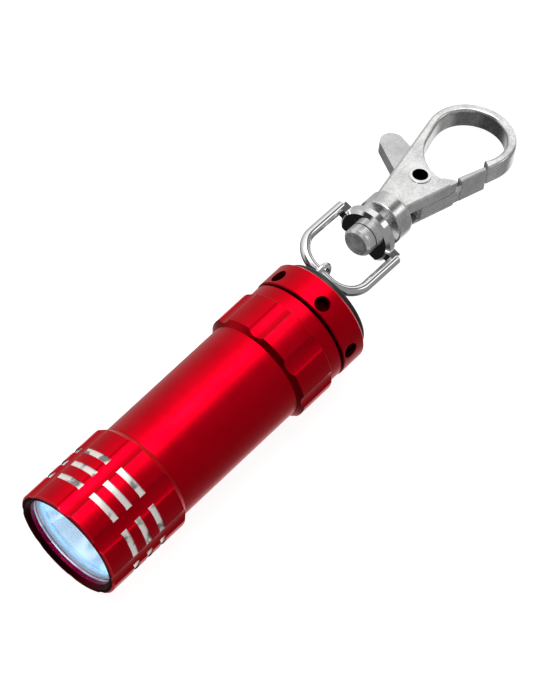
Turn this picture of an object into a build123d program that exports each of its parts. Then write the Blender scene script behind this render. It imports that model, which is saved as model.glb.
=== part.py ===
"""Keychain flashlight with a swivel snap hook, lying on its side.

Millimetres.  +X runs along the flashlight from the lens to the hook, +Z is up.
Stations called "u" are measured from the front rim of the head along the axis.
The clip has its own frame: it starts in the tail eyelet and dips to the table.
"""
from build123d import *
from math import asin, atan2, cos, degrees, hypot, radians, sin
import os

os.makedirs("parts", exist_ok=True)

# ---------------------------------------------------------------- driving sizes
HEAD_R = 9.0            # fluted head
BARREL_R = 8.1          # plain barrel
COLLAR_R = 9.0          # fluted collar
NECK_R = 8.45           # plain neck behind the collar
TAIL_R = 8.6            # tail cap ring
CELL_R = 5.8            # LR44 button cell
CELL_LENGTH = 5.4
CELL_COUNT = 4

FLUTES = 8
FLUTE_CUTTER_R = 3.2
FLUTE_DEPTH = 0.45

HEAD_END = 15.5
NOSE_START = 11.2       # male thread under the head
COLLAR_START = 38.65
COLLAR_END = 45.5
BARREL_END = 47.9
CAP_START = 48.25
CAP_END = 52.8

RUN = 0.05              # radial running clearance
THREAD_R = 7.9          # bore of the head
CAP_SPIGOT_R = 7.0
CELL_BORE_R = 6.15

EYELET_REACH = 4.1      # bail wire behind the tail face
EYELET_Y, EYELET_Z = 3.5, 1.2     # eyelet beside and above the flashlight's axis
PITCH_DEG = 11.3        # dip of the clip
YAW_DEG = 4.5
ROLL_DEG = 20          # bail and collar turned on the swivel, hook plate level

BAIL_WIRE_R = 0.8
BAIL_HALF = 5.6         # wire centre to the clip's axis
BAIL_CORNER = 4.2
COLLAR_X = 11.35         # swivel collar centre, along the clip
SWIVEL_R = 4.5
PIN_R = 1.2
BOSS_START, BOSS_END, BOSS_R = 14.1, 17.4, 3.85
PIVOT = (24.6, 0.4)
TOP, RING_BOTTOM, BODY_BOTTOM = 2.0, -1.6, -2.6     # hook levels across its plate

X_MID = 50.056
Y_AXIS = -3.748
Z_AXIS = HEAD_R * cos(radians(9.13))

# ---------------------------------------------------------------- frames
AXIS = Axis((0, Y_AXIS, Z_AXIS), (1, 0, 0))
SECTION = Plane(origin=(-X_MID, Y_AXIS, Z_AXIS), x_dir=(1, 0, 0), z_dir=(0, -1, 0))
EX = Vector(cos(radians(PITCH_DEG)) * cos(radians(YAW_DEG)),
            cos(radians(PITCH_DEG)) * sin(radians(YAW_DEG)), -sin(radians(PITCH_DEG)))
EY = Vector(-sin(radians(YAW_DEG)), cos(radians(YAW_DEG)), 0)
EZ = EX.cross(EY)
EYELET = Vector(CAP_END + EYELET_REACH - X_MID, Y_AXIS + EYELET_Y, Z_AXIS + EYELET_Z)
CLIP = Plane(origin=EYELET, x_dir=EX, z_dir=EZ)
CLIP_SECTION = Plane(origin=EYELET, x_dir=EX, z_dir=EY * -1)
LOOP_Z = EZ * cos(radians(ROLL_DEG)) - EY * sin(radians(ROLL_DEG))
LOOP = Plane(origin=EYELET, x_dir=EX, z_dir=LOOP_Z)
CLIP_AXIS = Axis(EYELET, EX)


def station(u):
    """Plane square to the flashlight, facing the tail; local axes are Y and Z."""
    return Plane(origin=(u - X_MID, Y_AXIS, Z_AXIS), x_dir=(0, 1, 0), z_dir=(1, 0, 0))


def clip_station(x):
    """Plane square to the clip's axis."""
    return Plane(origin=EYELET + EX * x, x_dir=EY, z_dir=EX)


def turned(points, section=SECTION):
    """Half section (along, radius) for a turned piece."""
    with BuildSketch(section) as sketch:
        with BuildLine():
            Polyline(*points, close=True)
        make_face()
    return sketch.sketch


def flutes(start, radius):
    """Round-bottomed flutes, seen from the end."""
    with BuildSketch(station(start)) as sketch:
        with PolarLocations(radius + FLUTE_CUTTER_R - FLUTE_DEPTH, FLUTES):
            Circle(FLUTE_CUTTER_R)
    return sketch.sketch


def ring_section(u, major, minor):
    """Round section of an o-ring."""
    with BuildSketch(SECTION) as sketch:
        with Locations((u, major)):
            Circle(minor)
    return sketch.sketch


def coil(start, height, radius, pitch):
    """Wire centre-line of a coil spring along the flashlight's axis."""
    return Helix(pitch=pitch, height=height, radius=radius,
                 center=(start - X_MID, Y_AXIS, Z_AXIS), direction=(1, 0, 0))


def save(builder, name):
    builder.part.label = name
    export_step(builder.part, f"parts/{name}.step")


# ---------------------------------------------------------------- head
LIP = 1.2               # front rim in front of the lens
RIM_BORE_R = 7.65
BELT_STATIONS = (4.75, 7.45, 10.15)
BELT_WIDTH, BELT_DEPTH = 1.08, 0.22

with BuildPart() as head_bezel:
    revolve(turned([(0, RIM_BORE_R + 0.55), (0, HEAD_R - 0.3), (0.3, HEAD_R),
                    (HEAD_END - 1.0, HEAD_R), (HEAD_END, BARREL_R + 0.02),
                    (HEAD_END, THREAD_R), (LIP, THREAD_R), (LIP, RIM_BORE_R),
                    (0.6, RIM_BORE_R)]), axis=AXIS)
    extrude(flutes(0, HEAD_R), amount=HEAD_END, mode=Mode.SUBTRACT)
    for belt in BELT_STATIONS:
        edge = HEAD_R - BELT_DEPTH
        low, high = belt - BELT_WIDTH / 2, belt + BELT_WIDTH / 2
        revolve(turned([(low, edge), (high, edge), (high, HEAD_R + 1), (low, HEAD_R + 1)]),
                axis=AXIS, mode=Mode.SUBTRACT)
save(head_bezel, "head_bezel")

LENS_FRONT, LENS_BACK = 1.25, 2.65
with BuildPart() as lens:
    with BuildSketch(station(LENS_FRONT)):
        Circle(THREAD_R - RUN)
    extrude(amount=LENS_BACK - LENS_FRONT)
    fillet(lens.faces().sort_by(Axis.X)[0].edges(), 0.2)
save(lens, "lens")

with BuildPart() as lens_gasket:
    revolve(ring_section(LENS_BACK + 0.4, 7.4, 0.4), axis=AXIS)
save(lens_gasket, "lens_gasket")

CUP_FRONT = LENS_BACK + 0.8
CUP_END = 10.2
with BuildPart() as reflector:
    with BuildSketch(SECTION):
        with BuildLine():
            Line((CUP_END, 2.75), (CUP_END, 3.3))
            Spline((CUP_END, 3.3), (7.6, 5.9), (CUP_FRONT + 0.8, 7.4))
            Polyline((CUP_FRONT + 0.8, 7.4), (CUP_FRONT + 0.8, THREAD_R - RUN),
                     (CUP_FRONT, THREAD_R - RUN), (CUP_FRONT, 6.95))
            Spline((CUP_FRONT, 6.95), (7.0, 5.35), (CUP_END, 2.75))
        make_face()
    revolve(axis=AXIS)
save(reflector, "reflector")

# ---------------------------------------------------------------- barrel
BOARD_FRONT, BOARD_BACK = 13.0, 14.0
ORING_U = 12.0
REAR_BORE_START = 43.3

with BuildPart() as barrel_tube:
    revolve(turned([
        (NOSE_START, 6.6), (NOSE_START, THREAD_R - RUN - 0.3),
        (NOSE_START + 0.3, THREAD_R - RUN), (ORING_U - 0.4, THREAD_R - RUN),
        (ORING_U - 0.4, 7.13), (ORING_U + 0.4, 7.13), (ORING_U + 0.4, THREAD_R - RUN),
        (HEAD_END + 0.05, THREAD_R - RUN), (HEAD_END + 0.05, BARREL_R),
        (COLLAR_START, BARREL_R), (COLLAR_START + 0.75, COLLAR_R),
        (COLLAR_END - 0.3, COLLAR_R), (COLLAR_END, COLLAR_R - 0.3),
        (COLLAR_END, NECK_R), (BARREL_END - 0.15, NECK_R), (BARREL_END, NECK_R - 0.15),
        (BARREL_END, CAP_SPIGOT_R + RUN), (REAR_BORE_START, CAP_SPIGOT_R + RUN),
        (REAR_BORE_START, CELL_BORE_R), (BOARD_BACK, CELL_BORE_R), (BOARD_BACK, 6.6)]),
        axis=AXIS)
    extrude(flutes(COLLAR_START, COLLAR_R), amount=COLLAR_END - COLLAR_START,
            mode=Mode.SUBTRACT)
save(barrel_tube, "barrel_tube")

with BuildPart() as barrel_oring:
    revolve(ring_section(ORING_U, 7.13 + 0.35, 0.35), axis=AXIS)
save(barrel_oring, "barrel_oring")

LED_R = 2.5
with BuildPart() as led:
    with BuildSketch(SECTION):
        with BuildLine():
            Polyline((8.5, LED_R), (12.2, LED_R), (12.2, 2.9), (BOARD_FRONT, 2.9),
                     (BOARD_FRONT, 0), (8.5 - LED_R, 0))
            RadiusArc((8.5 - LED_R, 0), (8.5, LED_R), LED_R)
        make_face()
    revolve(axis=AXIS)
save(led, "led")

with BuildPart() as led_board:
    with BuildSketch(station(BOARD_FRONT)):
        Circle(6.6)
    extrude(amount=BOARD_BACK - BOARD_FRONT)
save(led_board, "led_board")

CELLS_START = 17.0
with BuildPart() as led_spring:
    with BuildLine() as wire:
        add(coil(BOARD_BACK + 0.25, CELLS_START - BOARD_BACK - 0.5, 2.0, 0.8))
    with BuildSketch(Plane(wire.line @ 0, z_dir=wire.line % 0)):
        Circle(0.22)
    sweep(path=wire.line, is_frenet=True)
save(led_spring, "led_spring")

CELLS_END = CELLS_START + CELL_COUNT * CELL_LENGTH
with BuildPart() as battery_sleeve:
    with BuildSketch(station(CELLS_START - 0.6)):
        Circle(CELL_BORE_R - 0.03)
        Circle(CELL_R + 0.05, mode=Mode.SUBTRACT)
    extrude(amount=CELLS_END - CELLS_START + 1.4)
save(battery_sleeve, "battery_sleeve")

for number in range(CELL_COUNT):
    first = CELLS_START + number * CELL_LENGTH
    with BuildPart() as battery_cell:
        revolve(turned([(first, 0), (first, 5.0), (first + 0.5, 5.2), (first + 0.5, CELL_R),
                        (first + CELL_LENGTH - 0.4, CELL_R),
                        (first + CELL_LENGTH, CELL_R - 0.4), (first + CELL_LENGTH, 0)]),
                axis=AXIS)
    save(battery_cell, f"battery_cell_{number + 1}")

# ---------------------------------------------------------------- tail
SPIGOT_START = 43.9
HOUSING_R = 5.1
HOUSING_START, HOUSING_END = 44.3, 48.65
WEB_START, WEB_END = 48.7, 51.0
STEM_R = 2.5
BUTTON_R = 7.65
BUTTON_TRAVEL = 1.0
BUTTON_START = WEB_END + BUTTON_TRAVEL + 0.05
BUTTON_END = CAP_END + 1.15
CAP_ORING_U = 46.0
EYELET_SHANK_R = 0.6

with BuildPart() as tail_cap:
    revolve(turned([
        (SPIGOT_START, HOUSING_R + RUN), (SPIGOT_START, CAP_SPIGOT_R - 0.3),
        (SPIGOT_START + 0.3, CAP_SPIGOT_R), (CAP_ORING_U - 0.38, CAP_SPIGOT_R),
        (CAP_ORING_U - 0.38, 6.3), (CAP_ORING_U + 0.38, 6.3),
        (CAP_ORING_U + 0.38, CAP_SPIGOT_R), (CAP_START, CAP_SPIGOT_R),
        (CAP_START, TAIL_R - 0.15), (CAP_START + 0.15, TAIL_R), (CAP_END - 0.35, TAIL_R),
        (CAP_END, TAIL_R - 0.35), (CAP_END, BUTTON_R + 0.1), (WEB_END, BUTTON_R + 0.1),
        (WEB_END, STEM_R + 0.1), (WEB_START, STEM_R + 0.1), (WEB_START, HOUSING_R + RUN)]),
        axis=AXIS)
    for turn in range(6):
        around = radians(52 + 60 * turn)
        out = Vector(0, cos(around), sin(around))
        floor = Vector(49.8 - X_MID, Y_AXIS, Z_AXIS) + out * (TAIL_R - 1.6)
        with BuildSketch(Plane(origin=floor, x_dir=(1, 0, 0), z_dir=out)):
            Circle(1.2)
        extrude(amount=3, mode=Mode.SUBTRACT)
    with BuildSketch(station(WEB_START + 0.4)):
        with Locations((EYELET_Y, EYELET_Z)):
            Circle(EYELET_SHANK_R)
    extrude(amount=3, mode=Mode.SUBTRACT)
save(tail_cap, "tail_cap")

with BuildPart() as tail_oring:
    revolve(ring_section(CAP_ORING_U, 6.3 + 0.33, 0.33), axis=AXIS)
save(tail_oring, "tail_oring")

CONTACT_FACE = HOUSING_START + 0.8
with BuildPart() as switch_housing:
    revolve(turned([(HOUSING_START, 0.7), (HOUSING_START, HOUSING_R),
                    (HOUSING_END, HOUSING_R), (HOUSING_END, 4.4),
                    (HOUSING_START + 0.6, 4.4), (HOUSING_START + 0.6, 0.7)]), axis=AXIS)
save(switch_housing, "switch_housing")

with BuildPart() as switch_contact:
    revolve(turned([(HOUSING_START, 0), (HOUSING_START, 0.7), (HOUSING_START + 0.6, 0.7),
                    (HOUSING_START + 0.6, 2.25), (CONTACT_FACE, 2.25), (CONTACT_FACE, 0)]),
            axis=AXIS)
save(switch_contact, "switch_contact")

with BuildPart() as tail_spring:
    with BuildLine() as wire:
        add(coil(CELLS_END + 0.3, HOUSING_START - CELLS_END - 0.55, 2.6, 1.2))
    with BuildSketch(Plane(wire.line @ 0, z_dir=wire.line % 0)):
        Circle(0.25)
    sweep(path=wire.line, is_frenet=True)
save(tail_spring, "tail_spring")

with BuildPart() as tail_button:
    revolve(turned([(WEB_END - 0.8, 0.9), (WEB_END - 0.8, STEM_R), (BUTTON_START, STEM_R),
                    (BUTTON_START, BUTTON_R), (BUTTON_END, BUTTON_R), (BUTTON_END, 0),
                    (WEB_END + 0.4, 0), (WEB_END + 0.4, 0.9)]), axis=AXIS)
    fillet(tail_button.faces().sort_by(Axis.X)[-1].edges(), 0.5)
    with BuildSketch(station(BUTTON_START - 1)):
        with Locations((EYELET_Y, EYELET_Z)):
            Circle(EYELET_SHANK_R + 0.25)
    extrude(amount=6, mode=Mode.SUBTRACT)
save(tail_button, "tail_button")

PIN_TIP = CONTACT_FACE + BUTTON_TRAVEL + 0.05
with BuildPart() as switch_plunger:
    revolve(turned([(PIN_TIP, 0), (PIN_TIP, 0.7), (PIN_TIP + 0.2, 0.9),
                    (HOUSING_END - 0.5, 0.9), (HOUSING_END - 0.5, 4.2), (HOUSING_END, 4.2),
                    (HOUSING_END, 0.9), (WEB_END + 0.4, 0.9), (WEB_END + 0.4, 0)]),
            axis=AXIS)
save(switch_plunger, "switch_plunger")

with BuildPart() as button_spring:
    with BuildLine() as wire:
        add(coil(PIN_TIP + 0.2, HOUSING_END - PIN_TIP - 0.95, 1.6, 0.5))
    with BuildSketch(Plane(wire.line @ 0, z_dir=wire.line % 0)):
        Circle(0.16)
    sweep(path=wire.line, is_frenet=True)
save(button_spring, "button_spring")

RING_MAJOR, RING_WIRE = 1.6, 0.42
with BuildPart() as tail_eyelet:
    with BuildSketch(Plane(origin=EYELET + Vector(RING_MAJOR, 0, 0), x_dir=(1, 0, 0),
                           z_dir=(0, 0, 1))):
        Circle(RING_WIRE)
    revolve(axis=Axis(EYELET, (0, 1, 0)))
    with BuildSketch(station(WEB_START + 0.4)):
        with Locations((EYELET_Y, EYELET_Z)):
            Circle(EYELET_SHANK_R)
    extrude(amount=CAP_END + EYELET_REACH - RING_MAJOR - WEB_START - 0.4)
save(tail_eyelet, "tail_eyelet")

# ---------------------------------------------------------------- bail and swivel
HALF_COLLAR = 1.05
COLLAR_FLAT = -2.1      # underside of the collar
LEG_END = COLLAR_X + HALF_COLLAR - 0.6
CORNER_Y = BAIL_HALF - BAIL_CORNER
with BuildPart() as bail:
    with BuildLine(LOOP) as wire:
        Line((LEG_END, BAIL_HALF), (BAIL_CORNER, BAIL_HALF))
        CenterArc((BAIL_CORNER, CORNER_Y), BAIL_CORNER, 90, 90)
        Line((0, CORNER_Y), (0, -CORNER_Y))
        CenterArc((BAIL_CORNER, -CORNER_Y), BAIL_CORNER, 180, 90)
        Line((BAIL_CORNER, -BAIL_HALF), (LEG_END, -BAIL_HALF))
    with BuildSketch(Plane(origin=LOOP.from_local_coords((LEG_END, BAIL_HALF, 0)), z_dir=EX * -1)):
        Circle(BAIL_WIRE_R)
    sweep(path=wire.wires()[0])
    fillet([e for e in bail.edges().filter_by(GeomType.CIRCLE)
            if LOOP.to_local_coords(e.center()).X > LEG_END - 0.01], 0.35)
save(bail, "bail")

with BuildPart() as swivel_collar:
    revolve(turned([(COLLAR_X - HALF_COLLAR, PIN_R + RUN),
                    (COLLAR_X - HALF_COLLAR, SWIVEL_R - 0.5),
                    (COLLAR_X - HALF_COLLAR + 0.5, SWIVEL_R),
                    (COLLAR_X + HALF_COLLAR - 0.5, SWIVEL_R),
                    (COLLAR_X + HALF_COLLAR, SWIVEL_R - 0.5),
                    (COLLAR_X + HALF_COLLAR, PIN_R + RUN)], CLIP_SECTION), axis=CLIP_AXIS)
    with BuildSketch(LOOP.offset(COLLAR_FLAT)):
        with Locations((COLLAR_X, 0)):
            Rectangle(4 * HALF_COLLAR, 3 * SWIVEL_R)
    extrude(amount=-SWIVEL_R, mode=Mode.SUBTRACT)
    for side in (1, -1):
        with BuildSketch(LOOP.offset(-0.75)):
            with Locations((COLLAR_X, side * (BAIL_HALF - 0.9))):
                Rectangle(2 * HALF_COLLAR - 0.5, 1.8)
        extrude(amount=1.5)
    for side in (1, -1):
        with BuildSketch(Plane(origin=LOOP.from_local_coords((BAIL_HALF, side * BAIL_HALF, 0)),
                               z_dir=EX)):
            Circle(BAIL_WIRE_R)
        extrude(amount=LEG_END - BAIL_HALF, mode=Mode.SUBTRACT)
save(swivel_collar, "swivel_collar")

PIN_HEAD_R = 2.35
PIN_HEAD_START = 8.35
PIN_END = 16.2
with BuildPart() as swivel_pin:
    shoulder = COLLAR_X - HALF_COLLAR - 0.1
    revolve(turned([(PIN_HEAD_START, 0), (PIN_HEAD_START, PIN_HEAD_R - 0.4),
                    (PIN_HEAD_START + 0.4, PIN_HEAD_R), (shoulder, PIN_HEAD_R),
                    (shoulder, PIN_R), (PIN_END, PIN_R), (PIN_END, 0)], CLIP_SECTION),
            axis=CLIP_AXIS)
save(swivel_pin, "swivel_pin")

# ---------------------------------------------------------------- snap hook
NECK_TOP, NECK_LOW = (17.0, 3.05), (17.0, -1.8)      # plate edges inside the boss
EYE_CENTRE, EYE_OUT_R, EYE_IN_R = (36.9, -0.25), 6.95, 5.45
SLOT = (-2.1, 0.1)      # lever slot, open along both edges of the plate
LEVER = (-2.05, 0.05)
RIVET_R = 1.45
NOSE_R = 10.35          # gate nose sweeps this circle about the pivot


def eye_point(radius, degrees):
    """A point on a circle about the middle of the hook's eye."""
    around = radians(degrees)
    return (EYE_CENTRE[0] + radius * cos(around), EYE_CENTRE[1] + radius * sin(around))


def shoulder(neck, side):
    """Where the plate's straight edge from the neck touches the eye (side +1 or -1)."""
    dx, dy = EYE_CENTRE[0] - neck[0], EYE_CENTRE[1] - neck[1]
    lean = atan2(dy, dx) + side * asin(EYE_OUT_R / hypot(dx, dy))
    return eye_point(EYE_OUT_R, degrees(lean) + side * 90)


SHOULDER_TOP, SHOULDER_LOW = shoulder(NECK_TOP, 1), shoulder(NECK_LOW, -1)
EYE_TIP, EYE_FAR = eye_point(EYE_OUT_R, 0), eye_point(EYE_IN_R, 0)
EYE_TOP, EYE_LOW = eye_point(EYE_IN_R, 90), eye_point(EYE_IN_R, 232)
GATE_SLOPE = (NECK_LOW[1] - SHOULDER_LOW[1]) / (SHOULDER_LOW[0] - NECK_LOW[0])


def low_edge(x):
    """The plate's straight lower edge, along which the gate closes."""
    return NECK_LOW[1] - GATE_SLOPE * (x - NECK_LOW[0])


with BuildPart() as boss:
    with BuildSketch(clip_station(BOSS_START)):
        Circle(BOSS_R)
    extrude(amount=BOSS_END - BOSS_START)
    fillet(boss.edges().filter_by(GeomType.CIRCLE).sort_by(Axis.X)[-1], 0.6)
    fillet(boss.edges().filter_by(GeomType.CIRCLE).sort_by(Axis.X)[0], 0.25)

with BuildPart() as hook_body:
    with BuildSketch(CLIP.offset(RING_BOTTOM)) as plate:
        with BuildLine():
            Line(NECK_TOP, SHOULDER_TOP)
            ThreePointArc(SHOULDER_TOP, EYE_TIP, SHOULDER_LOW)
            Polyline(SHOULDER_LOW, NECK_LOW, NECK_TOP)
        make_face()
        with BuildLine():
            ThreePointArc(EYE_TOP, EYE_FAR, EYE_LOW)
            Spline(EYE_TOP, (33.4, 4.6), (30.6, 3.75), (28.6, 2.4), (27.1, 0.4), (26.5, -1.8),
                   (26.9, -3.6), (27.7, -4.9), tangents=((-1, 0), (0.6, -0.8)))
            Line((27.7, -4.9), EYE_LOW)
        make_face(mode=Mode.SUBTRACT)
        with BuildSketch(mode=Mode.SUBTRACT):
            with BuildLine():
                Polyline((26.0, -9), (26.0, -4.45), (26.7, -3.1), (29.4, -2.8), (38, -2.8),
                         (38, -9), close=True)
            make_face()
            with Locations(PIVOT):
                Circle(NOSE_R + 0.4, mode=Mode.INTERSECT)
    extrude(amount=TOP - RING_BOTTOM)
    rims = [e for e in hook_body.edges()
            if abs(CLIP.to_local_coords(e @ 0.5).Z - (TOP + RING_BOTTOM) / 2)
            > (TOP - RING_BOTTOM) / 2 - 0.01 and e.length > 2
            and CLIP.to_local_coords(e @ 0.5).X > 17.5]
    fillet(rims, 0.5)
    with BuildSketch(CLIP.offset(BODY_BOTTOM)):
        with BuildLine():
            Polyline(NECK_TOP, (29.0, 5.15), (27.6, 2.4), (26.4, 0), (26.2, -2.6),
                     (27.0, low_edge(27.0) + 0.05), NECK_LOW, close=True)
        make_face()
    extrude(amount=1.6)
    add(boss)
    with BuildSketch(clip_station(BOSS_START - 1)):
        Circle(PIN_R)
    extrude(amount=PIN_END - BOSS_START + 1, mode=Mode.SUBTRACT)
    with BuildSketch(CLIP.offset(SLOT[0])):
        with BuildLine():
            Polyline((17.9, -9), (29.5, -9), (29.5, -3.2), (28.2, -1.0), (28.4, 1.0),
                     (30.2, 4.2), (31.5, 6.4), (31.5, 9), (21.4, 9), (21.4, 1.2),
                     (20.2, -0.6), (17.9, -0.6), close=True)
        make_face()
    extrude(amount=SLOT[1] - SLOT[0], mode=Mode.SUBTRACT)
    with BuildSketch(CLIP.offset(SLOT[1])):
        with BuildLine():
            Polyline((24.6, low_edge(24.6) + 0.25), (27.3, low_edge(27.3) + 0.2), (27.6, -4.2),
                     (26.7, -2.4), (25.2, -2.4), close=True)
        make_face()
    extrude(amount=TOP - SLOT[1] - 0.12)
    with BuildSketch(CLIP.offset(-4)):
        with Locations(PIVOT):
            Circle(RIVET_R)
    extrude(amount=8, mode=Mode.SUBTRACT)
save(hook_body, "hook_body")

TAB_END = (29.3, 8.75)
SPRING_R, SPRING_WIRE_R = 2.9, 0.15
with BuildPart() as gate_lever:
    with BuildSketch(CLIP.offset(LEVER[0])):
        with Locations(PIVOT):
            Circle(2.4)
        with Locations(TAB_END):
            Circle(1.9)
        with BuildLine():
            Polyline((22.4, 1.3), (27.6, 9.6), (31.15, 8.4), (30.4, 6.2), (29.3, 4.4),
                     (27.2, 1.4), (26.2, -1.0), (26.6, -3.6), (29.6, -4.5),
                     (29.6, low_edge(29.6) - 0.1), (21.0, low_edge(21.0)),
                     (20.6, low_edge(20.6) + 0.4), (20.9, -1.3), (22.4, -1.0), close=True)
        make_face()
    extrude(amount=LEVER[1] - LEVER[0])
    with BuildSketch(CLIP.offset(LEVER[0])) as nose:
        with BuildLine():
            Polyline((28.3, -4.0), (36, -6.65), (36, low_edge(36) - 0.15),
                     (27.9, low_edge(27.9) - 0.15), close=True)
        make_face()
        with Locations(PIVOT):
            Circle(NOSE_R, mode=Mode.INTERSECT)
    extrude(amount=TOP - LEVER[0])
    upper = [e for e in gate_lever.edges()
             if CLIP.to_local_coords(e @ 0.5).Z > TOP - 0.01]
    fillet(upper, 0.35)
    with BuildSketch(CLIP.offset(-4)):
        with Locations(PIVOT):
            Circle(RIVET_R + RUN)
    extrude(amount=8, mode=Mode.SUBTRACT)
    with BuildSketch(CLIP.offset(LEVER[0] - 0.5)):
        with Locations(PIVOT):
            Circle(SPRING_R + 0.4)
            Circle(SPRING_R - 0.45, mode=Mode.SUBTRACT)
    extrude(amount=1.7, mode=Mode.SUBTRACT)
save(gate_lever, "gate_lever")

with BuildPart() as pivot_rivet:
    with BuildSketch(CLIP.offset(BODY_BOTTOM)):
        with Locations(PIVOT):
            Circle(RIVET_R)
    extrude(amount=TOP - BODY_BOTTOM)
    for base in (TOP, BODY_BOTTOM - 0.2):
        with BuildSketch(CLIP.offset(base)):
            with Locations(PIVOT):
                Circle(1.7)
        extrude(amount=0.2)
    fillet(pivot_rivet.edges().filter_by(GeomType.CIRCLE).filter_by(
        lambda e: abs(e.radius - 1.7) < 0.01), 0.09)
    with BuildSketch(CLIP.offset(SLOT[0])):
        with Locations(PIVOT):
            Circle(1.15)
    extrude(amount=5, mode=Mode.SUBTRACT)
save(pivot_rivet, "pivot_rivet")

with BuildPart() as gate_spring:
    with BuildLine() as wire:
        Helix(pitch=0.34, height=0.68, radius=SPRING_R,
              center=CLIP.from_local_coords((*PIVOT, -1.79)), direction=EZ)
    with BuildSketch(Plane(wire.line @ 0, z_dir=wire.line % 0)):
        Circle(SPRING_WIRE_R)
    sweep(path=wire.line, is_frenet=True)
save(gate_spring, "gate_spring")
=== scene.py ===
"""Studio scene for the keychain flashlight: materials, lights, floor and camera.

Metres, in the CAD frame: +X from the lens to the snap hook, +Z up.
"""
from math import cos, radians, sin

import bpy
from mathutils import Matrix, Vector


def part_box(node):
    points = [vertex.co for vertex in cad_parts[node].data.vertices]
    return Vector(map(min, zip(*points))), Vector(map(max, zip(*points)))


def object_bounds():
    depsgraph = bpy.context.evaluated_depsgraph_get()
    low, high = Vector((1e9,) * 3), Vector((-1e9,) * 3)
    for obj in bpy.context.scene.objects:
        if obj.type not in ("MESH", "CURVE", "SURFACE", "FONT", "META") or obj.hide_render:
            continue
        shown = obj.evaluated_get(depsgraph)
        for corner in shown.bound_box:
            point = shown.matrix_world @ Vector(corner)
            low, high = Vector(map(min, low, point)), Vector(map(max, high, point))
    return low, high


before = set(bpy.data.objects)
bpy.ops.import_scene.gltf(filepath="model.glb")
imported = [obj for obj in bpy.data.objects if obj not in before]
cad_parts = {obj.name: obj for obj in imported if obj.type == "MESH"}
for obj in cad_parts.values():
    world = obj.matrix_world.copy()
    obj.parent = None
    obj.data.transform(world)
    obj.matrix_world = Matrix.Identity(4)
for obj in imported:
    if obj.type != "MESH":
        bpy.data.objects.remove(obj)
cad_low, cad_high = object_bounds()
MM = 0.001

head_low, head_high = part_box("head_bezel")
AXIS_Y = (head_low[1] + head_high[1]) / 2
AXIS_Z = (head_low[2] + head_high[2]) / 2
HEAD_FRONT = head_low[0]
HEAD_R = 9.0 * MM
TAIL_R = 8.6 * MM
scene = bpy.context.scene

CLIP_PITCH, CLIP_YAW = radians(11.3), radians(4.5)    # how the clip lies
CLIP_UP = Vector((sin(CLIP_PITCH) * cos(CLIP_YAW), sin(CLIP_PITCH) * sin(CLIP_YAW), cos(CLIP_PITCH)))
CLIP_ALONG = Vector((cos(CLIP_PITCH) * cos(CLIP_YAW), cos(CLIP_PITCH) * sin(CLIP_YAW),
                     -sin(CLIP_PITCH)))


# ---------------------------------------------------------------- shader helpers
class Nodes:
    """Short ways to add and join nodes in one tree."""

    tree = None

    def node(self, kind, **options):
        new = self.tree.nodes.new(kind)
        for key, value in options.items():
            setattr(new, key, value)
        return new

    def plug(self, source, target):
        """Joins an output to an input, or sets the input when given a number."""
        if isinstance(source, bpy.types.NodeSocket):
            self.tree.links.new(source, target)
        else:
            target.default_value = source

    def math(self, operation, a, b=0.0, c=0.0, clamp=False):
        new = self.node("ShaderNodeMath", operation=operation, use_clamp=clamp)
        for index, value in enumerate((a, b, c)):
            self.plug(value, new.inputs[index])
        return new.outputs[0]

    def ramp(self, value, low, high, to_low=0.0, to_high=1.0, kind="LINEAR"):
        new = self.node("ShaderNodeMapRange", interpolation_type=kind)
        self.plug(value, new.inputs["Value"])
        for name, number in (("From Min", low), ("From Max", high),
                             ("To Min", to_low), ("To Max", to_high)):
            self.plug(number, new.inputs[name])
        return new.outputs[0]

    def mix(self, amount, a, b):
        new = self.node("ShaderNodeMix", data_type="RGBA")
        self.plug(amount, new.inputs[0])
        self.plug(a if isinstance(a, bpy.types.NodeSocket) else (*a, 1.0), new.inputs[6])
        self.plug(b if isinstance(b, bpy.types.NodeSocket) else (*b, 1.0), new.inputs[7])
        return new.outputs[2]

    def vector(self, operation, a, b, output="Vector"):
        """A vector operation on a socket and a fixed vector."""
        new = self.node("ShaderNodeVectorMath", operation=operation)
        self.plug(a, new.inputs[0])
        new.inputs[1].default_value = b
        return new.outputs[output]


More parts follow.
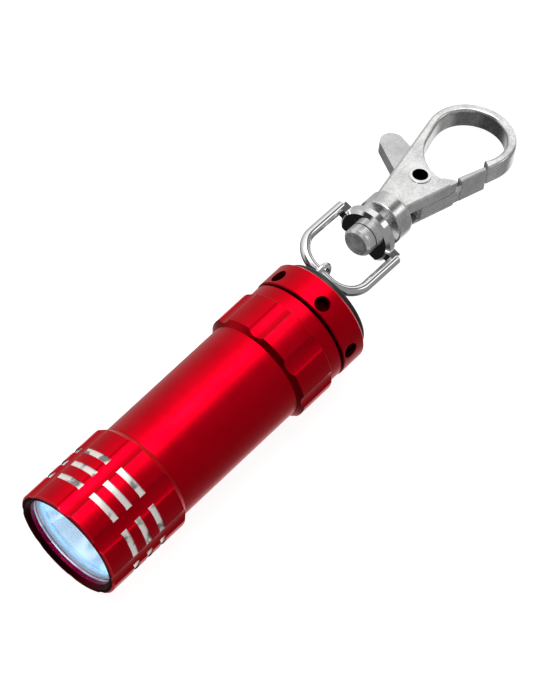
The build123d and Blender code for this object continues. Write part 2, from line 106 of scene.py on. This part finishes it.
class Shader(Nodes):
    """A Principled material and the few nodes it is made from."""

    def __init__(self, name, colour, metallic=0.0, roughness=0.5, **sockets):
        self.material = bpy.data.materials.new(name)
        self.material.use_nodes = True
        self.tree = self.material.node_tree
        self.bsdf = self.tree.nodes["Principled BSDF"]
        self.position = self.node("ShaderNodeTexCoord").outputs["Object"]
        self.set("Base Color", (*colour, 1.0))
        self.set("Metallic", metallic)
        self.set("Roughness", roughness)
        for socket, value in sockets.items():
            self.set(socket.replace("_", " "), value)

    def set(self, socket, value):
        self.plug(value, self.bsdf.inputs[socket])

    def base(self):
        """The output that colours the material so far."""
        return self.bsdf.inputs["Base Color"].links[0].from_socket

    def noise(self, scale, detail=3.0, stretch=(1, 1, 1), rough=0.5):
        place = self.node("ShaderNodeMapping")
        self.plug(self.position, place.inputs["Vector"])
        place.inputs["Scale"].default_value = stretch
        new = self.node("ShaderNodeTexNoise")
        self.plug(place.outputs[0], new.inputs["Vector"])
        new.inputs["Scale"].default_value = scale
        new.inputs["Detail"].default_value = detail
        new.inputs["Roughness"].default_value = rough
        return new.outputs["Fac"]

    def bump(self, height, strength, distance, under=None):
        new = self.node("ShaderNodeBump")
        self.plug(height, new.inputs["Height"])
        new.inputs["Strength"].default_value = strength
        new.inputs["Distance"].default_value = distance
        if under is not None:
            self.plug(under, new.inputs["Normal"])
        self.plug(new.outputs[0], self.bsdf.inputs["Normal"])
        return new.outputs[0]

    def radius(self):
        """Distance from the flashlight's axis and place along it, in metres."""
        split = self.node("ShaderNodeSeparateXYZ")
        self.plug(self.position, split.inputs[0])
        dy = self.math("SUBTRACT", split.outputs[1], AXIS_Y)
        dz = self.math("SUBTRACT", split.outputs[2], AXIS_Z)
        squares = self.math("ADD", self.math("MULTIPLY", dy, dy), self.math("MULTIPLY", dz, dz))
        return self.math("SQRT", squares), split.outputs[0]


def dress(node, shader):
    """Gives a CAD node one material."""
    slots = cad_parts[node].data.materials
    slots.clear()
    slots.append(shader.material)


# ---------------------------------------------------------------- materials
RED_MID = (0.74, 0.001, 0.014)
RED_DEEP = (0.66, 0.0, 0.010)


def anodised(name):
    """Red anodised aluminium: turning lines under a fine etched grain."""
    s = Shader(name, RED_MID, metallic=1.0, roughness=0.34)
    cloud = s.noise(260, 3)
    s.set("Base Color", s.mix(s.ramp(cloud, 0.3, 0.7), RED_MID, RED_DEEP))
    etch = s.noise(9000, 2)
    lines = s.noise(1.0, 2, stretch=(14000, 40, 40))
    s.set("Roughness", s.ramp(lines, 0.3, 0.7, 0.30, 0.37))
    height = s.math("ADD", s.math("MULTIPLY", etch, 0.6), s.math("MULTIPLY", lines, 0.4))
    s.bump(height, 0.25, 0.00002)
    return s


BELTS = (4.75, 7.45, 10.15)                 # middle of each bare ring behind the front, mm
BELT_WIDTH = 1.08                           # mm
BELT_FLOOR_R = HEAD_R - 0.25 * MM           # the bare rings lie between these two radii
BELT_BRIM_R = HEAD_R - 0.01 * MM
RIM_DEPTH = 0.12 * MM                       # flat front of the rim, painted darker red as shade
EDGE_DEPTH, EDGE_WIDTH = 0.33 * MM, 0.32 * MM   # chamfer round it
BORE_R, BORE_DEPTH = 7.68 * MM, 4 * MM      # wall in front of the lens, painted dark as shade, with painted glints
CONE_R, CONE_DEPTH = 8.35 * MM, 0.7 * MM    # cone between the front rim and the bore, painted near black as shade


def belted(name):
    """The head's finish: bare turned aluminium where the belts cut through the red."""
    s = anodised(name)
    red = s.base()
    radius, along = s.radius()
    on_belt = 0.0
    for belt in BELTS:
        centre = HEAD_FRONT + belt * MM
        near = s.math("ABSOLUTE", s.math("SUBTRACT", along, centre))
        hit = s.math("LESS_THAN", near, BELT_WIDTH / 2 * MM * 0.999)
        on_belt = s.math("MAXIMUM", on_belt, hit)
    above = s.math("GREATER_THAN", radius, BELT_FLOOR_R)
    below = s.math("LESS_THAN", radius, BELT_BRIM_R)
    bare = s.math("MULTIPLY", on_belt, s.math("MULTIPLY", above, below))
    grain = s.noise(1.0, 2, stretch=(16000, 60, 60))
    silver = s.mix(s.ramp(grain, 0.3, 0.7), (0.95, 0.93, 0.89), (0.84, 0.82, 0.77))
    smudge = s.ramp(s.noise(420, 2), 0.53, 0.64)
    silver = s.mix(smudge, silver, (0.22, 0.21, 0.2))
    coloured = s.mix(bare, red, silver)
    front = s.math("SUBTRACT", along, HEAD_FRONT)
    on_rim = s.math("LESS_THAN", front, RIM_DEPTH)
    in_bore = s.math("MULTIPLY", s.math("LESS_THAN", radius, BORE_R),
                     s.math("LESS_THAN", front, BORE_DEPTH))
    # painted shade: the flat front of the rim is made darker red
    coloured = s.mix(on_rim, coloured, (0.4, 0.001, 0.012))
    # painted shade in the bore, flecked with lighter painted glints
    bore_painted_glints = s.ramp(s.noise(5200, 1), 0.62, 0.72)
    bore = s.mix(bore_painted_glints, (0.27, 0.001, 0.03), (0.6, 0.1, 0.17))
    # painted shade: the cone is made near black
    on_cone = s.math("MULTIPLY", s.math("LESS_THAN", radius, CONE_R),
                     s.math("LESS_THAN", front, CONE_DEPTH))
    coloured = s.mix(on_cone, coloured, (0.1, 0.0, 0.006))
    s.set("Base Color", s.mix(in_bore, coloured, bore))
    on_edge = s.math("MULTIPLY", s.math("LESS_THAN", front, EDGE_DEPTH),
                     s.math("GREATER_THAN", radius, HEAD_R - EDGE_WIDTH))
    lift = s.math("MAXIMUM", s.math("MULTIPLY", bare, 0.7), s.math("MULTIPLY", on_edge, 0.6))
    s.set("Metallic", s.math("SUBTRACT", 1.0, lift))
    return s


# radii over which the painted shade inside the blind holes fades out
HOLE_FLOOR, HOLE_BRIM = TAIL_R - 1.5 * MM, TAIL_R - 0.25 * MM


def pierced(name):
    """The tail cap's finish, with painted shade making the blind holes dark inside."""
    s = anodised(name)
    red = s.base()
    radius, _ = s.radius()
    hole_shade_ramp = s.ramp(radius, HOLE_FLOOR, HOLE_BRIM)
    # painted shade: near black at the hole floor, fading to the red at the brim
    s.set("Base Color", s.mix(hole_shade_ramp, (0.03, 0.0, 0.001), red))
    return s


def metal(name, colour, roughness, grain=3000, lift=0.000006, spread=0.05):
    """Plated or tumbled metal with faint waviness and handling marks."""
    s = Shader(name, colour, metallic=1.0, roughness=roughness)
    marks = s.noise(grain, 4)
    s.set("Roughness", s.ramp(marks, 0.3, 0.75, roughness, roughness + spread))
    s.bump(s.noise(grain / 6, 2), 0.2, lift)
    return s


def matt(name, colour, other, roughness, grain=4000, lift=0.00003):
    """Rubber or moulded plastic with a fine skin."""
    s = Shader(name, colour, roughness=roughness)
    speck = s.noise(grain, 3)
    s.set("Base Color", s.mix(s.ramp(speck, 0.35, 0.7), colour, other))
    s.set("Roughness", s.ramp(speck, 0.3, 0.7, roughness - 0.06, roughness + 0.06))
    s.bump(speck, 0.3, lift)
    return s


def tumbled(name, light, dark, roughness):
    """Tumbled plating: bright metal under a soft grey mottle."""
    s = metal(name, light, roughness, grain=2200, lift=0.000004, spread=0.05)
    broad, fine = s.noise(330, 3, rough=0.6), s.noise(2600, 2)
    mottle = s.math("ADD", s.math("MULTIPLY", broad, 0.65), s.math("MULTIPLY", fine, 0.35))
    s.set("Base Color", s.mix(s.ramp(mottle, 0.38, 0.62), dark, light))
    return s


def pin_finish():
    """Swivel pin: light turned side, dull sawn face painted near white as a painted highlight."""
    s = tumbled("pin_rough", (0.55, 0.55, 0.55), (0.22, 0.22, 0.22), 0.28)
    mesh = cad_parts["swivel_pin"].data
    front = min(vertex.co.dot(CLIP_ALONG) for vertex in mesh.vertices)
    past = s.math("SUBTRACT", s.vector("DOT_PRODUCT", s.position, CLIP_ALONG, "Value"), front)
    face_painted_highlight = s.math("LESS_THAN", past, 0.03 * MM)
    # painted highlight: the sawn face is made near white
    s.set("Base Color", s.mix(face_painted_highlight, (0.93, 0.93, 0.93), s.base()))
    s.set("Metallic", s.math("SUBTRACT", 0.85, s.math("MULTIPLY", face_painted_highlight, 0.4)))
    return s


# radius inside which painted shade makes the rivet black
RIVET_HOLE_R = 1.22 * MM
RIVET_PLATING = (0.86, 0.86, 0.87)


def rivet_finish():
    """Pivot rivet: bright plating, with painted shade making it black inside its hole."""
    s = metal("rivet_plated", RIVET_PLATING, 0.1)
    low, high = (Vector(corner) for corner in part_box("pivot_rivet"))
    from_pivot = s.vector("SUBTRACT", s.position, (low + high) / 2)
    across = s.vector("CROSS_PRODUCT", from_pivot, CLIP_UP)
    reach = s.vector("LENGTH", across, (0, 0, 0), "Value")
    hole_shade_mask = s.math("LESS_THAN", reach, RIVET_HOLE_R)
    # painted shade: near black inside the hole
    s.set("Base Color", s.mix(hole_shade_mask, RIVET_PLATING, (0.02, 0.02, 0.02)))
    return s


FLANGE_R = 7.7 * MM         # the reflector is painted dark as shade beyond this radius
CUP_PLATING = (0.8, 0.88, 0.95)


def cup_finish():
    """Reflector: silvered, with a painted pale blue glow standing in for the lamp's light and
    painted shade round its edge.
    """
    s = metal("reflector_plating", CUP_PLATING, 0.12, grain=1500)
    radius, _ = s.radius()
    outer_shade_mask = s.math("GREATER_THAN", radius, FLANGE_R)
    # painted shade: near black beyond FLANGE_R
    s.set("Base Color", s.mix(outer_shade_mask, CUP_PLATING, (0.01, 0.01, 0.012)))
    # painted glow: the silvered part shines pale blue as if lit by the lamp
    s.set("Emission Color", s.mix(outer_shade_mask, (0.36, 0.68, 1.0), (0.0, 0.0, 0.0)))
    s.set("Emission Strength", 0.55)
    return s


def glass_finish():
    """Clear lens."""
    s = Shader("lens_clear", (0.93, 0.97, 1.0), roughness=0.03, IOR=1.49,
               Transmission_Weight=1.0)
    s.bump(s.noise(900, 2), 0.05, 0.000005)
    return s


def seal_finish():
    """Lens gasket: milky clear silicone, with a painted glow standing in for the lamp's light."""
    s = matt("clear_silicone", (0.62, 0.74, 0.84), (0.7, 0.8, 0.88), 0.35)
    # painted glow: the gasket shines pale blue as if lit by the lamp
    s.set("Emission Color", (0.45, 0.72, 1.0, 1.0))
    s.set("Emission Strength", 0.35)
    return s


def diode_finish():
    """Glowing epoxy dome."""
    s = Shader("led_epoxy", (0.9, 0.95, 1.0), roughness=0.15, Transmission_Weight=0.3)
    s.set("Emission Color", (0.8, 0.92, 1.0, 1.0))
    s.set("Emission Strength", 2.0)
    s.bump(s.noise(800, 1), 0.05, 0.00001)
    return s


red_body = anodised("red_anodised")
red_head = belted("red_anodised_belted")
red_tail = pierced("red_anodised_pierced")
chrome = metal("chrome_plated", (0.86, 0.86, 0.87), 0.07)
nickel = tumbled("nickel_satin", (0.9, 0.9, 0.89), (0.62, 0.62, 0.62), 0.16)
nickel.set("Metallic", 0.93)
lever_nickel = tumbled("nickel_lever", (0.68, 0.68, 0.68), (0.52, 0.52, 0.52), 0.2)
lever_nickel.set("Metallic", 0.8)
pin_steel = pin_finish()
steel = metal("spring_steel", (0.6, 0.6, 0.6), 0.25)
brass = metal("contact_brass", (0.8, 0.6, 0.25), 0.2)
cell = metal("cell_can", (0.72, 0.72, 0.71), 0.18)
rubber = matt("button_rubber", (0.004, 0.004, 0.004), (0.009, 0.009, 0.009), 0.42)
nitrile = matt("nitrile", (0.01, 0.01, 0.01), (0.02, 0.02, 0.02), 0.4)
plastic = matt("black_plastic", (0.02, 0.02, 0.02), (0.03, 0.03, 0.03), 0.45)
sleeve = matt("sleeve_film", (0.03, 0.03, 0.035), (0.04, 0.04, 0.05), 0.3)
board = matt("board_green", (0.01, 0.12, 0.05), (0.02, 0.17, 0.07), 0.4)
glass = glass_finish()
cup = cup_finish()
clear_seal = seal_finish()
diode = diode_finish()
rivet = rivet_finish()

FINISH = {
    "head_bezel": red_head, "barrel_tube": red_body, "tail_cap": red_tail,
    "lens": glass, "lens_gasket": clear_seal, "reflector": cup, "led": diode,
    "led_board": board, "led_spring": steel, "barrel_oring": nitrile,
    "battery_sleeve": sleeve, "tail_oring": nitrile, "switch_housing": plastic,
    "switch_contact": brass, "tail_spring": steel, "tail_button": rubber,
    "switch_plunger": brass, "button_spring": steel, "tail_eyelet": chrome,
    "bail": chrome, "swivel_collar": chrome, "swivel_pin": pin_steel, "hook_body": nickel,
    "gate_lever": lever_nickel, "pivot_rivet": rivet, "gate_spring": steel,
}
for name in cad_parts:
    dress(name, cell if name.startswith("battery_cell") else FINISH[name])

# ---------------------------------------------------------------- floor
FLOOR_HALF = 12.0
bpy.ops.mesh.primitive_plane_add(size=2 * FLOOR_HALF, location=(0, 0, cad_low[2] - 0.0001))
floor = bpy.context.object
floor.name = "studio_floor"
floor_finish = Shader("paper_white", (0.4, 0.4, 0.4), roughness=0.9)
floor_finish.set("Emission Color", (1.0, 1.0, 1.0, 1.0))
floor_finish.set("Emission Strength", 0.9)
floor.data.materials.append(floor_finish.material)
floor.visible_glossy = False

# ---------------------------------------------------------------- lights
world = bpy.data.worlds.new("studio")
scene.world = world
world.use_nodes = True


class Surround(Nodes):
    """The studio round the object: how bright it is in each direction."""

    def __init__(self, tree):
        self.tree = tree
        self.direction = self.node("ShaderNodeTexCoord").outputs["Generated"]
        self.axes = self.node("ShaderNodeSeparateXYZ")
        self.plug(self.direction, self.axes.inputs[0])

    def lobe(self, toward, full_deg, none_deg):
        """1 within full_deg of a direction, falling to 0 at none_deg."""
        new = self.node("ShaderNodeVectorMath", operation="DOT_PRODUCT")
        self.plug(self.direction, new.inputs[0])
        new.inputs[1].default_value = Vector(toward).normalized()
        return self.ramp(new.outputs["Value"], cos(radians(none_deg)), cos(radians(full_deg)),
                         kind="SMOOTHSTEP")

    def side(self, axis, low, high, to_low, to_high):
        return self.ramp(self.axes.outputs[axis], low, high, to_low, to_high,
                         kind="SMOOTHSTEP")


def studio_glow(around):
    """Brightness all round: a lit wall, a softbox, a window and the dark room."""
    glow = around.side(1, -0.38, 0.12, 0.30, 1.0)                     # bright wall toward +Y
    haze = around.math("MAXIMUM", around.side(1, 0.45, 0.8, 1.0, 0.0),
                       around.side(2, 0.2, 0.75, 0.55, 1.0))           # dimmer near its foot
    glow = around.math("MULTIPLY", glow, haze)
    under = around.side(2, -0.55, -0.05, 0.0, 1.0)
    low = around.side(0, -0.2, 0.3, 0.25, 0.9)                        # table beyond the object
    glow = around.math("MULTIPLY", glow, around.math("MAXIMUM", under, low))
    strip = around.lobe((0.39, 0.03, 0.92), 7, 20)                    # overhead softbox
    glow = around.math("ADD", glow, around.math("MULTIPLY", strip, 1.05))
    window = around.lobe((0.69, -0.52, 0.50), 6, 12)                  # far window
    glow = around.math("ADD", glow, around.math("MULTIPLY", window, 1.2))
    bar = around.math("MULTIPLY", around.lobe((0.74, -0.12, 0.66), 7, 13), 0.85)
    shade = around.lobe((-0.95, 0.0, 0.1), 28, 48)                    # dark room before the lens
    shade = around.math("MAXIMUM", shade, around.lobe((-0.65, 0.3, -0.7), 22, 42))
    shade = around.math("MAXIMUM", shade, around.lobe((-0.65, 0.32, 0.7), 10, 22))
    shade = around.math("MAXIMUM", shade, bar)                        # bar between the lamps
    glow = around.math("MULTIPLY", glow, around.ramp(shade, 0.0, 1.0, 1.0, 0.04))
    seen = around.node("ShaderNodeLightPath").outputs["Is Camera Ray"]    # white backdrop
    return around.math("MAXIMUM", glow, seen)


around = Surround(world.node_tree)
background = world.node_tree.nodes["Background"]
background.inputs["Color"].default_value = (1, 1, 1, 1)
around.plug(studio_glow(around), background.inputs["Strength"])

centre = Vector(((cad_low[0] + cad_high[0]) / 2, 0.0, AXIS_Z))


def softbox(name, direction, distance, size, power):
    """Rectangular area light aimed at the middle of the object."""
    data = bpy.data.lights.new(name, "AREA")
    data.shape = "RECTANGLE"
    data.size, data.size_y = size
    data.energy = power
    lamp = bpy.data.objects.new(name, data)
    scene.collection.objects.link(lamp)
    way = Vector(direction).normalized()
    lamp.location = centre + way * distance
    lamp.rotation_euler = way.to_track_quat("Z", "Y").to_euler()


softbox("overhead", (0.1, 0.18, 1.0), 0.6, (0.3, 0.3), 1.0)

# ---------------------------------------------------------------- camera
FOCAL_OVER_HEIGHT = 3793 / 700    # lens length in picture heights
VIEW_AZIMUTH = -45.2
VIEW_ELEVATION = 56.4
VIEW_ROLL = -2.86
VIEW_DISTANCE = 0.5452
AIM = Vector((HEAD_FRONT + 42.8 * MM, AXIS_Y + 0.8 * MM, AXIS_Z))

azimuth, elevation = radians(VIEW_AZIMUTH), radians(VIEW_ELEVATION)
look = Vector((-sin(azimuth) * cos(elevation), cos(azimuth) * cos(elevation), -sin(elevation)))
camera_data = bpy.data.cameras.new("photo_view")
camera_data.sensor_fit = "VERTICAL"
camera_data.sensor_height = 24.0
camera_data.lens = 24.0 * FOCAL_OVER_HEIGHT
camera = bpy.data.objects.new("photo_view", camera_data)
scene.collection.objects.link(camera)
aim = (-look).to_track_quat("Z", "Y") @ Matrix.Rotation(radians(VIEW_ROLL), 3, "Z").to_quaternion()
camera.rotation_euler = aim.to_euler()
camera.location = AIM - look * VIEW_DISTANCE
scene.camera = camera

scene.view_settings.view_transform = "Standard"
